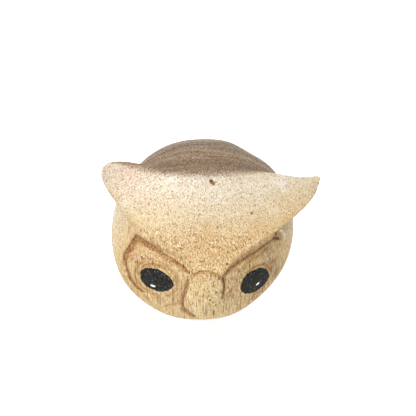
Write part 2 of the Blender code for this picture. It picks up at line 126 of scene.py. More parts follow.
# Knife cuts: chart points, depth, width to the left and right of the direction of travel, stain, and how much of
# the right width there is at the far end. Depths and widths are in millimetres. A stain of 1 is golden brown with
# a darker middle, and above 1 it turns dark brown.
CUTS = {
    "left_brow": (
        [(-23.2, -1.6), (-19.6, -4.4), (-14.4, -6.9), (-12.3, -8.8), (-9.1, -10.4), (-5.8, -13.0), (-4.0, -15.4)],
        0.6, 0.35, 2.6, 1.0, 0.3,
    ),
    "left_disc_rim": (
        [(-22.6, -2.6), (-24.3, -4.8), (-29.1, -10.1), (-30.5, -12.4), (-31.0, -16.2), (-31.2, -22.1),
         (-30.3, -26.8), (-27.5, -31.0)],
        0.5, 1.5, 0.4, 1.0, 1.0,
    ),
    "left_rim_echo": ([(-23.6, -7.0), (-26.5, -8.8), (-29.0, -10.5)], 0.35, 0.35, 0.6, 0.9, 1.0),
    "left_temple": ([(-25.2, 1.3), (-25.6, -2.8)], 0.35, 0.4, 0.8, 0.7, 1.0),
    "left_lid": (
        [(-23.4, -15.6), (-20.6, -13.3), (-16.8, -12.4), (-13.6, -13.6), (-11.2, -15.2)],
        0.3, 0.3, 0.8, 0.7, 1.0,
    ),
    "left_ring_top": (
        [(-25.6, -13.6), (-21.2, -10.9), (-16.6, -10.6), (-11.6, -12.6), (-9.0, -15.2), (-8.2, -18.4),
         (-9.4, -23.8), (-12.3, -28.6), (-16.8, -31.6)],
        0.3, 0.35, 1.3, 0.42, 1.0,
    ),
    "left_ring_low": (
        [(-18.6, -31.8), (-23.6, -30.6), (-27.4, -26.6), (-28.2, -21.1), (-26.8, -17.2)],
        0.3, 0.35, 1.3, 0.55, 1.0,
    ),
    "left_inner_ring": (
        [(-24.6, -20.4), (-25.4, -16.6), (-23.6, -13.8), (-20.4, -12.0)], 0.3, 0.9, 0.35, 0.8, 1.0,
    ),
    "left_cheek_outer": ([(-27.6, -30.6), (-26.6, -35.6)], 0.3, 0.3, 0.9, 0.4, 1.0),
    "left_cheek_inner": ([(-21.6, -32.6), (-19.4, -35.6)], 0.3, 0.3, 0.8, 0.5, 1.0),
    "chin_left": ([(-19.2, -38.4), (-14.8, -36.4), (-10.9, -34.6), (-8.6, -33.6)], 0.22, 0.5, 1.2, 0.5, 1.0),
    "right_brow_fold": (
        [(25.0, -6.2), (21.4, -8.6), (17.4, -11.2), (14.2, -13.6), (12.4, -16.4)], 0.25, 1.2, 0.4, 0.45, 1.0,
    ),
    "right_brow": (
        [(27.4, -2.8), (24.6, -4.3), (21.5, -6.4), (17.9, -8.6), (13.9, -10.5), (11.5, -12.0), (9.6, -13.3),
         (7.9, -15.4), (7.2, -17.0)],
        0.55, 0.9, 0.4, 0.9, 1.0,
    ),
    "right_notch": ([(24.6, -3.5), (29.4, -4.1)], 0.9, 0.5, 0.6, 1.0, 1.0),
    "right_notch_top": ([(25.8, -0.6), (26.3, -3.6)], 0.7, 0.4, 0.5, 1.0, 1.0),
    "right_lid": (
        [(16.2, -17.6), (18.4, -15.6), (21.4, -14.4), (24.8, -14.0), (28.0, -16.2), (30.8, -19.4)],
        0.35, 0.35, 0.8, 0.8, 1.0,
    ),
    "right_under_lid": ([(31.6, -25.0), (28.8, -30.2), (23.0, -32.2)], 0.2, 0.3, 1.2, 0.3, 1.0),
    "right_cheek": ([(12.6, -17.2), (11.2, -21.6), (11.6, -26.4), (14.6, -31.4)], 0.25, 1.2, 0.4, 0.3, 1.0),
    "beak_top": (
        [(-4.2, -17.0), (-2.6, -14.7), (-0.6, -13.5), (2.1, -13.3), (4.8, -14.3), (6.6, -16.8)],
        0.4, 0.35, 0.5, 0.8, 1.0,
    ),
    "beak_right": ([(6.6, -16.6), (7.5, -19.6), (7.7, -23.6), (7.6, -28.0)], 0.6, 0.8, 0.4, 1.0, 0.6),
    "beak_left": (
        [(-4.3, -17.0), (-5.2, -20.6), (-6.2, -24.6), (-7.7, -28.6), (-8.5, -32.6), (-8.7, -36.0), (-7.2, -38.4),
         (-4.8, -40.4), (-1.8, -42.0)],
        0.6, 0.4, 0.65, 0.9, 3.2,
    ),
    "scratch": ([(2.0, 15.0), (4.3, 12.9)], 0.35, 0.55, 0.55, 1.35, 1.0),
}  # fmt: skip
CUT_FADE = 1.2  # a cut runs out over this length at each end
CUT_MARGIN = 0.8  # the mesh is finer this far past a cut's or a sliver's own width
NO_FADE = 0.01  # in place of CUT_FADE, where a cut's ends count as much as its middle
# Raised slivers of torn wood, beside the right notch and the scratch: chart points, height and half width. They
# are painted paler than the wood, as a painted highlight where they catch the light, stored as a stain below 0.
SLIVERS = [
    ([(26.6, -0.2), (28.6, -0.9), (30.0, -2.2), (31.4, -4.4)], 0.9, 0.75),
    ([(3.0, 15.2), (4.6, 13.9)], 0.45, 0.5),
]  # fmt: skip
# Broad flats that the knife left on the ball: chart place, radius and depth in millimetres.
FLATS = [(22.0, 36.0, 9.0, 1.0), (0.0, 44.0, 12.0, 0.6), (-2.0, -44.0, 12.0, 1.0)]
# Open pores big enough to have depth: chart place and radius in millimetres.
PITS = [
    (7.6, -10.9, 0.4), (-21.4, -10.2, 0.4), (-8.1, -23.5, 0.3), (14.7, 4.4, 0.4), (4.7, -20.8, 0.35),
    (2.6, -23.4, 0.35), (3.6, -24.6, 0.3), (4.6, -26.2, 0.3), (5.4, -16.2, 0.3), (-28.6, -19.0, 0.25),
]  # fmt: skip
PIT_DEPTH = 0.45 * MM
PIT_STAIN = 1.3
PIT_MARGIN = 0.6  # the mesh is finer this far past a pit's edge
# The slivers' painted highlight, kept as a stain below 0.
SLIVER_HIGHLIGHT = -1.0
# Shallow facets left by the gouge: their width in millimetres, depth, and a seed for their places.
GOUGE_ON_DISCS = (2.6, 0.10 * MM, 1.0)
GOUGE_ELSEWHERE = (5.5, 0.05 * MM, 4.0)

# Stained places, and the dark places of painted shade: chart place, radius in millimetres and strength.
GOLD = [
    (0.5, -4.2, 5.0, 0.8), (4.5, -7.0, 4.5, 0.7), (10.5, -5.6, 4.0, 0.55), (-6.0, -7.5, 4.0, 0.45),
    (17.0, 0.0, 4.0, 0.35), (24.0, 5.0, 4.0, 0.35), (-9.0, -4.5, 3.0, 0.3), (-22.6, -4.6, 2.2, 1.0),
    (-24.8, 2.6, 2.2, 0.7), (-20.6, -1.4, 2.2, 0.7), (-16.0, -4.4, 2.2, 0.7), (-11.4, -7.4, 2.2, 0.8),
    (12.0, -9.6, 1.8, 0.9), (16.0, -6.9, 1.8, 0.9), (20.0, -4.1, 1.8, 0.8), (24.0, -1.2, 1.8, 0.8),
    (-15.0, -31.0, 3.0, 0.5), (-27.0, -22.0, 3.0, 0.6), (10.0, -24.0, 2.5, 0.7), (-19.0, -12.0, 2.5, 0.5),
    (1.0, -14.5, 3.0, 0.5), (-19.0, -24.0, 12.0, 0.4), (20.0, -20.0, 12.0, 0.4), (-25.5, -10.0, 3.5, 0.6),
    (-13.0, -26.0, 3.0, 0.4),
]  # fmt: skip
PINK = [(-20.7, 14.2, 4.0, 0.35), (-25.9, -9.7, 1.5, 1.6), (-14.0, 8.5, 4.0, 0.2), (-24.5, 9.0, 3.0, 0.15)]
# Dark places, mostly painted shade where the surface turns from the light or lies under an overhang: the right of
# the face and the side behind it, the notch under the beak's tip, the right notch and the left ear. Near the right
# eye it is partly a real stain.
PAINTED_SHADE_AND_STAIN = [
    (29.0, -15.5, 4.2, 1.0), (25.0, -8.5, 4.5, 0.55), (33.0, -20.0, 4.5, 0.6), (27.3, -3.3, 2.2, 0.9),
    (-8.4, -38.4, 2.0, 1.6), (10.0, -27.0, 5.0, 0.4), (20.0, -28.0, 9.0, 0.12), (13.5, -18.0, 4.0, 0.3),
    (24.0, -32.0, 6.0, 0.25), (30.0, 0.0, 4.0, 0.3), (-25.5, 14.5, 5.0, 0.28), (29.0, 10.0, 3.0, 0.12),
]  # fmt: skip

# Painted eyes. Centre and half sizes are on the eye's flat facet (right, up), in millimetres; the tilt of the long
# axis is counted from the facet's right. The white dot is placed from the eye's centre. The seed shapes the edge.
EYES = {
    "left": {
        "centre": (-4.5, 2.9), "half": (7.25, 5.85), "tilt": 58, "dot": (-1.2, -4.0), "dot_half": (1.05, 0.62),
        "seed": 1.0,
    },
    "right": {
        "centre": (1.75, -1.6), "half": (7.4, 5.6), "tilt": 122, "dot": (1.05, -2.4), "dot_half": (0.8, 0.55),
        "seed": 2.3,
    },
}  # fmt: skip
PAINT_T = 0.07 * MM  # how far the black paint stands out
DOT_T = 3.2 * PAINT_T  # and the white dots on it
DOT_TILT = 0.2
PAINT_ROOT = 0.3 * MM  # how far each painted piece reaches into the wood
PAINT_SINK = 0.02 * MM  # the paint's thin edge starts this far below the surface

# M6 fixings.
THREAD_R = 3 * MM
THREAD_DEPTH = 0.61 * MM
PITCH = 1 * MM
THREAD_GAP = 0.06 * MM
THREAD_ROWS = 8  # rows of points a turn
STUD_CHAMFER = 0.8 * MM
BORE_MOUTH = 0.35 * MM  # how far a threaded bore opens out at its ends
WASHER_BORE_R = 3.2 * MM
GASKET_BORE_R = 3.3 * MM
INSERT_R = 4.6 * MM  # over the insert's outer ridges
INSERT_FLANGE_T = 1.2 * MM
INSERT_PITCH = 2 * MM  # of the coarse outer thread that grips the wood
GAP = 0.3 * MM  # between the wood or the gasket and what goes through it
STEPS = 96  # round a turned piece

# Fineness of the carved mesh.
VOXEL = 0.46 * MM
NEWTON_STEPS = 3


# ------------ the carving's field


def smooth_step(value, start, end):
    t = np.clip((value - start) / (end - start), 0, 1)
    return t * t * (3 - 2 * t)


def smooth_union(a, b, blend):
    mix = np.clip(0.5 + 0.5 * (b - a) / blend, 0, 1)
    return b * (1 - mix) + a * mix - blend * mix * (1 - mix)


def smooth_cut(a, b, blend):
    """The part that a and b share, with its edge rounded."""
    return -smooth_union(-a, -b, blend)


def lengths(vectors):
    return np.linalg.norm(vectors, axis=1)


def units(vectors):
    return vectors / lengths(vectors)[:, None]


def chart(points):
    """Chart coordinates (u, v) of points measured from the ball's centre."""
    right, up, ahead = (units(points) @ axis for axis in FOREHEAD_AXES)
    arc = HEAD_R * np.arccos(np.clip(ahead, -1, 1))
    reach = np.maximum(np.hypot(right, up), 1e-9)
    return np.stack([right * arc / reach, up * arc / reach], axis=1)


def compass(azimuth, latitude):
    """A unit vector from an azimuth, turned right from straight ahead (-Y), and a latitude."""
    level = math.cos(latitude)
    return np.array([math.sin(azimuth) * level, -math.cos(azimuth) * level, math.sin(latitude)])


def rounded_outline(corners, rounds=2):
    """Cuts the corners of a closed outline, which turns a few corner points into a smooth curve."""
    points = np.array(corners, dtype=float) * MM
    for _ in range(rounds):
        following = np.roll(points, -1, axis=0)
        points = np.stack([0.75 * points + 0.25 * following, 0.25 * points + 0.75 * following], axis=1)
        points = points.reshape(-1, 2)
    return points


def to_segment(uv, start, end):
    """Distance from a straight line between two chart points, and the share of it that has been passed."""
    along = end - start
    rel = uv - start
    t = np.clip(rel @ along / (along @ along), 0, 1)
    return lengths(rel - t[:, None] * along), t


def outline_distance(uv, outline, far=9 * MM):
    """Signed chart distance to a closed outline: negative inside. Points well outside get a large value."""
    near = np.all((uv > outline.min(0) - far) & (uv < outline.max(0) + far), axis=1)
    result = np.full(len(uv), far)
    uv = uv[near]
    nearest = np.full(len(uv), np.inf)
    inside = np.zeros(len(uv), dtype=bool)
    for start, end in zip(outline, np.roll(outline, -1, axis=0)):
        nearest = np.minimum(nearest, to_segment(uv, start, end)[0])
        crosses = (start[1] > uv[:, 1]) != (end[1] > uv[:, 1])
        rise = end[1] - start[1] if end[1] != start[1] else 1.0
        inside ^= crosses & (uv[:, 0] < start[0] + (uv[:, 1] - start[1]) * (end[0] - start[0]) / rise)
    result[near] = np.where(inside, -nearest, nearest)
    return result


OUTLINES = {name: rounded_outline(corners) for name, corners in DISCS.items()}
OUTLINES["forehead"] = rounded_outline(FOREHEAD_OUTLINE)
OUTLINES["beak"] = rounded_outline(BEAK_OUTLINE)


def chart_values(points):
    """Everything about the carving that depends only on a point's direction from the ball's centre."""
    uv = chart(points)
    recess = np.zeros(len(uv))
    for side in DISCS:
        inside = -outline_distance(uv, OUTLINES[side])
        recess = np.maximum(recess, DISC_DEPTH[side] * smooth_step(inside, 0, DISC_RAMP[side]))
    back = smooth_step(uv[:, 1], *BACK_V)
    left_front = smooth_step(uv[:, 0], *BEVEL_U) * (1 - back)
    fall = (BEAK_TOP[0] - uv[:, 1]) / (BEAK_TOP[0] - BEAK_TIP[0])
    beak_r = HEAD_R + BEAK_TOP[1] + (BEAK_TIP[1] - BEAK_TOP[1]) * fall
    return {
        "forehead": outline_distance(uv, OUTLINES["forehead"]),
        "beak": outline_distance(uv, OUTLINES["beak"]),
        "recess": recess * smooth_step(uv[:, 1], *CHIN_V),
        "beak_r": beak_r - BEAK_CROWN * (uv[:, 0] - BEAK_MIDDLE) ** 2 / MM,
        "fillet": FRONT_FILLET + (BACK_FILLET - FRONT_FILLET) * back,
        "edge": EDGE_ROUND + (LEFT_BEVEL - EDGE_ROUND) * left_front,
    }


def head_field(points, values):
    """Negative inside the head. Points are measured from the ball's centre."""
    right, up, ahead = FOREHEAD_AXES
    x, v, h = points @ right, points @ up, points @ ahead
    radius = lengths(points)
    ball = radius - HEAD_R
    for centre, bulge_r in BULGES.values():
        away = points - (centre[0] * right + centre[1] * ahead + centre[2] * up) * MM
        ball = smooth_union(ball, lengths(away) - bulge_r, BULGE_BLEND)
    taper = WALL_TAPER * (radius - HEAD_R)
    ball = ball + values["recess"]
    for azimuth, latitude, reach in FACETS.values():
        facing = compass(azimuth, latitude)
        flat = lengths(points - (reach - FACET_R) * facing) - FACET_R
        ball = smooth_cut(ball, flat, FACET_BLEND)
    body = smooth_union(ball, values["forehead"] * radius / HEAD_R + taper, values["fillet"])
    top = h - (FOREHEAD_H - x**2 / (2 * FOREHEAD_RX) - v**2 / (2 * FOREHEAD_RV))
    body = smooth_cut(body, top, values["edge"])
    beak = smooth_cut(values["beak"] * radius / HEAD_R + taper, radius - values["beak_r"], BEAK_ROUND)
    return smooth_union(body, beak, BEAK_FILLET)


def field(points):
    return head_field(points, chart_values(points))


def slope(points, here):
    """The field's gradient, by forward differences."""
    step = 0.01 * MM
    return np.stack([(field(points + step * axis) - here) / step for axis in np.eye(3)], axis=1)


def carve(points):
    """Moves points along their rays from the ball's centre onto the carved surface."""
    unit = units(points)
    values = chart_values(unit)
    low = np.full(len(unit), 0.5 * HEAD_R)
    high = np.full(len(unit), 2.0 * HEAD_R)
    for _ in range(24):
        middle = (low + high) / 2
        inside = head_field(unit * middle[:, None], values) < 0
        low = np.where(inside, middle, low)
        high = np.where(inside, high, middle)
    return unit * low[:, None]


# ------------ knife work on top of it


def line_closeness(uv, points, left, right, keep=1.0, fade=CUT_FADE):
    """1 on a line of chart points, falling to 0 at its left and right widths, and fading at its ends."""
    points = np.array(points, dtype=float) * MM
    reach = max(left, right) * MM
    near = np.all((uv > points.min(0) - reach) & (uv < points.max(0) + reach), axis=1)
    result = np.zeros(len(uv))
    if not near.any():
        return result
    uv = uv[near]
    distance = np.full(len(uv), np.inf)
    side = np.zeros(len(uv))
    place = np.zeros(len(uv))
    total = 0.0
    for start, end in zip(points[:-1], points[1:]):
        this, share = to_segment(uv, start, end)
        along = end - start
        length = np.hypot(*along)
        closer = this < distance
        distance = np.where(closer, this, distance)
        side = np.where(closer, along[0] * (uv[:, 1] - start[1]) - along[1] * (uv[:, 0] - start[0]), side)
        place = np.where(closer, total + share * length, place)
        total += length
    right_here = right * (1 + (keep - 1) * place / total)
    width = np.where(side > 0, left, right_here) * MM
    ends = smooth_step(place, 0, fade * MM) * smooth_step(total - place, 0, fade * MM)
    result[near] = np.clip(1 - distance / width, 0, 1) * ends
    return result


def scallops(uv, size, seed):
    """Shallow facets as a gouge leaves them: 0 in the middle of each, rising to its rim."""
    scaled = uv / (size * MM)
    cell = np.floor(scaled)
    nearest = np.full(len(uv), 9.0)
    for shift in np.ndindex(3, 3):
        corner = cell + np.array(shift) - 1
        mixed = corner @ np.array([[127.1, 269.5], [311.7, 183.3]]) + seed
        jitter = np.sin(mixed) * 43758.5453
        jitter = jitter - np.floor(jitter)
        away = scaled - corner - jitter
        nearest = np.minimum(nearest, np.hypot(away[:, 0], away[:, 1]))
    return np.clip(nearest, 0, 1.2) ** 2


def away_from(uv, u, v):
    """Distance, in millimetres, from a chart place."""
    return np.hypot(uv[:, 0] / MM - u, uv[:, 1] / MM - v)


def spots(uv, places):
    """Soft round patches: the strongest one at each point."""
    result = np.zeros(len(uv))
    for u, v, size, strength in places:
        result = np.maximum(result, strength * np.exp(-((away_from(uv, u, v) / size) ** 2)))
    return result


def cut_depth(uv):
    """How far below the smooth carving the surface lies."""
    depth = np.zeros(len(uv))
    for points, deep, left, right, _, keep in CUTS.values():
        depth = np.maximum(depth, deep * MM * line_closeness(uv, points, left, right, keep))
    for u, v, size in PITS:
        depth = np.maximum(depth, PIT_DEPTH * smooth_step(away_from(uv, u, v), size, 0.3 * size))
    for flat in FLATS:
        depth += MM * spots(uv, [flat])
    for points, high, width in SLIVERS:
        depth -= high * MM * smooth_step(line_closeness(uv, points, width, width), 0, 1)
    discs = np.maximum(*(smooth_step(-outline_distance(uv, OUTLINES[side]), 0, 2 * MM) for side in DISCS))
    discs = discs * smooth_step(outline_distance(uv, OUTLINES["forehead"]), -0.5 * MM, 1 * MM)
    for share, (size, deep, seed) in ((discs, GOUGE_ON_DISCS), (1 - discs, GOUGE_ELSEWHERE)):
        depth += share * deep * scallops(uv, size, seed)
    return depth


def surface(points):
    """The finished surface for points near it: positions and outward directions."""
    for _ in range(NEWTON_STEPS):
        here = field(points)
        up = slope(points, here)
        points = points - up * (here / np.maximum((up**2).sum(1), 1e-6))[:, None]
    up = units(slope(points, field(points)))
    return points - up * cut_depth(chart(points))[:, None], up


# ------------ mesh helpers


def placed(name, data):
    """A new object in the scene that shows the given mesh, light or camera."""
    item = bpy.data.objects.new(name, data)
    bpy.context.scene.collection.objects.link(item)
    return item


def add_piece(name, mesh, body, replaced, slot):
    """Adds a finished piece: it rides on its body and stands for its CAD node."""
    item = placed(name, mesh)
    item.data.materials.clear()
    item.data.materials.append(LOOKS[slot])
    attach(item, body)
    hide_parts(replaced)
    return item


def mesh_from(name, points, faces):
    mesh = bpy.data.meshes.new(name)
    mesh.from_pydata(np.asarray(points).tolist(), [], faces)
    mesh.validate()
    mesh.update()
    return mesh


def smooth(mesh, angle=180):
    mesh.shade_smooth()
    if angle < 180:
        mesh.set_sharp_from_angle(angle=math.radians(angle))


def get_points(mesh):
    points = np.empty(len(mesh.vertices) * 3)
    mesh.vertices.foreach_get("co", points)
    return points.reshape(-1, 3)


def set_points(mesh, points):
    mesh.vertices.foreach_set("co", points.astype(np.float32).ravel())
    mesh.update()


def baked(item):
    """The mesh that an object's modifiers make."""
    graph = bpy.context.evaluated_depsgraph_get()
    return bpy.data.meshes.new_from_object(item.evaluated_get(graph))


def drop(item):
    bpy.data.objects.remove(item, do_unlink=True)


def cut_out(mesh, cutters):
    """The mesh with the cutters taken out of it. The cutters are used up."""
    item = placed("uncut", mesh)
    for cutter in cutters:
        cut = item.modifiers.new("Boolean", "BOOLEAN")
        cut.operation = "DIFFERENCE"
        cut.object = cutter
    result = baked(item)
    for used in (item, *cutters):
        drop(used)
    return result


def grid_faces(rows, columns, closed_rows):
    """Quads of a grid of points, columns running round and rows running up."""
    faces = []
    for j in range(rows if closed_rows else rows - 1):
        k = (j + 1) % rows
        for i in range(columns):
            m = (i + 1) % columns
            faces.append((j * columns + i, j * columns + m, k * columns + m, k * columns + i))
    return faces


# ------------ materials


class Nodes:
    """A node tree under construction, with short names for the nodes it is built from."""

    def __init__(self, owner):
        owner.use_nodes = True
        self.tree = owner.node_tree

    def node(self, kind, **settings):
        item = self.tree.nodes.new(kind)
        for key, value in settings.items():
            setattr(item, key, value)
        return item

    def put(self, socket, value):
        if isinstance(value, bpy.types.NodeSocket):
            self.tree.links.new(value, socket)
        elif isinstance(value, tuple) and len(value) == 3 and len(socket.default_value) == 4:
            socket.default_value = (*value, 1)
        else:
            socket.default_value = value

    def maths(self, operation, a, b=0.0, c=0.0, clamp=False):
        item = self.node("ShaderNodeMath", operation=operation, use_clamp=clamp)
        for socket, value in zip(item.inputs, (a, b, c)):
            self.put(socket, value)
        return item.outputs[0]

    def times(self, a, b, clamp=False):
        return self.maths("MULTIPLY", a, b, clamp=clamp)

    def blend(self, share, low, high):
        """Goes from low to high as the share goes from 0 to 1."""
        return self.maths("MULTIPLY_ADD", share, high - low, low)

    def vector(self, operation, socket, a, b):
        item = self.node("ShaderNodeVectorMath", operation=operation)
        self.put(item.inputs[0], a)
        self.put(item.inputs[socket], b)
        return item.outputs[0]

    def scale(self, vector, factor):
        return self.vector("SCALE", "Scale", vector, factor)

    def stretch(self, vector, factors):
        return self.vector("MULTIPLY", 1, vector, factors)

    def shift(self, vector, other):
        return self.vector("ADD", 1, vector, other)

    def axes(self, vector):
        item = self.node("ShaderNodeSeparateXYZ")
        self.put(item.inputs[0], vector)
        return item.outputs

    def noise(self, vector, scale, detail=2.0, roughness=0.5, output=0):
        """Noise of one scale, or of a scale for each axis. Output 1 is a random vector."""
        if isinstance(scale, tuple):
            vector, scale = self.stretch(vector, scale), 1.0
        item = self.node("ShaderNodeTexNoise")
        values = {"Vector": vector, "Scale": scale, "Detail": detail, "Roughness": roughness}
        for socket, value in values.items():
            self.put(item.inputs[socket], value)
        return item.outputs[output]

    def cells(self, vector, scale, dimensions="2D"):
        item = self.node("ShaderNodeTexVoronoi", voronoi_dimensions=dimensions)
        self.put(item.inputs["Vector"], vector)
        self.put(item.inputs["Scale"], scale)
        return item.outputs

    def span(self, value, low, high, start=0.0, end=1.0):
        """Maps low..high to start..end, clamped, with soft ends."""
        item = self.node("ShaderNodeMapRange", interpolation_type="SMOOTHSTEP")
        for socket, number in zip(item.inputs, (value, low, high, start, end)):
            self.put(socket, number)
        return item.outputs[0]

    def mix(self, factor, a, b, blend="MIX"):
        item = self.node("ShaderNodeMix", data_type="RGBA", blend_type=blend)
        self.put(item.inputs["Factor"], factor)
        self.put(item.inputs[6], a)
        self.put(item.inputs[7], b)
        return item.outputs[2]

    def ramp(self, value, stops):
        """A colour ramp from (position, colour) stops."""
        item = self.node("ShaderNodeValToRGB")
        marks = item.color_ramp.elements
        while len(marks) < len(stops):
            marks.new(0.5)
        for mark, (position, _) in zip(marks, stops):
            mark.position = position
        for mark, (_, colour) in zip(marks, stops):
            mark.color = (*colour, 1)
        self.put(item.inputs[0], value)
        return item.outputs[0]


class Look(Nodes):
    """A material under construction. Its place is in millimetres."""

    def __init__(self, name, roughness, metallic=0.0):
        self.material = bpy.data.materials.new(name)
        super().__init__(self.material)
        self.shader = self.tree.nodes["Principled BSDF"]
        self.shader.inputs["Roughness"].default_value = roughness
        self.shader.inputs["Metallic"].default_value = metallic
        self.place = self.scale(self.node("ShaderNodeTexCoord").outputs["Object"], 1000)

    def coat(self, share, colour, blend="MIX"):
        """Puts one more colour over the look's own."""
        self.colour = self.mix(share, self.colour, colour, blend)

    def bump(self, height, distance, strength=1.0):
        item = self.node("ShaderNodeBump")
        self.put(item.inputs["Height"], height)
        item.inputs["Distance"].default_value = distance
        item.inputs["Strength"].default_value = strength
        self.put(self.shader.inputs["Normal"], item.outputs[0])

    def finish(self, colour, roughness=None):
        self.put(self.shader.inputs["Base Color"], colour)
        if roughness is not None:
            self.put(self.shader.inputs["Roughness"], roughness)
        return self.material


def paint(red, green, blue, share=1.0):
    """A linear colour from its everyday 0 to 255 numbers."""
    shown = (red / 255, green / 255, blue / 255)
    return tuple(share * (((c + 0.055) / 1.055) ** 2.4 if c > 0.04 else c / 12.92) for c in shown)


def wood(red, green, blue):
    """A colour of the wood, given as it is seen in bright light. The wood itself reflects less."""
    return paint(red, green, blue, 0.82)


# Colour of the wood from front to back, in millimetres along Y: growth rings stand upright, across the head.
BANDS = [
    (-32, (244, 223, 170)), (-28, (244, 223, 170)), (-25, (232, 205, 148)), (-21.5, (227, 199, 144)),
    (-18, (229, 206, 158)), (-13, (228, 211, 176)), (-7, (231, 220, 196)), (-3.6, (224, 212, 190)),
    (-2.2, (182, 162, 136)), (-0.8, (160, 138, 110)), (4.5, (156, 132, 104)), (7.5, (174, 151, 122)),
    (11.5, (180, 159, 132)), (14.0, (150, 132, 113)), (17, (168, 151, 132)), (24, (156, 137, 116)),
    (31, (168, 151, 132)),
]  # fmt: skip
BAND_REACH = 32  # the ramp runs this far to the front and to the back
HEART_STARTS = (-3.6, -1.0)  # the dark heartwood sets in between these
FACE_STARTS = (-13, -19)  # and, towards the front, the rougher wood of the face
RING_BEND = 0.0085  # how much the rings curve towards the sides
LINE_AT = 13.4  # one late, dark growth line at the back
# Open vessels in three sizes: spacing and radius in millimetres, an offset that keeps them apart, and strength.
PORES = ((1.0, 0.17, 0.0, 1.0), (0.72, 0.125, 31.0, 0.9), (0.5, 0.09, 77.0, 0.9))
PORE_LEAN = 0.62  # vessels lean back a little, so their open ends on the forehead are longer than wide


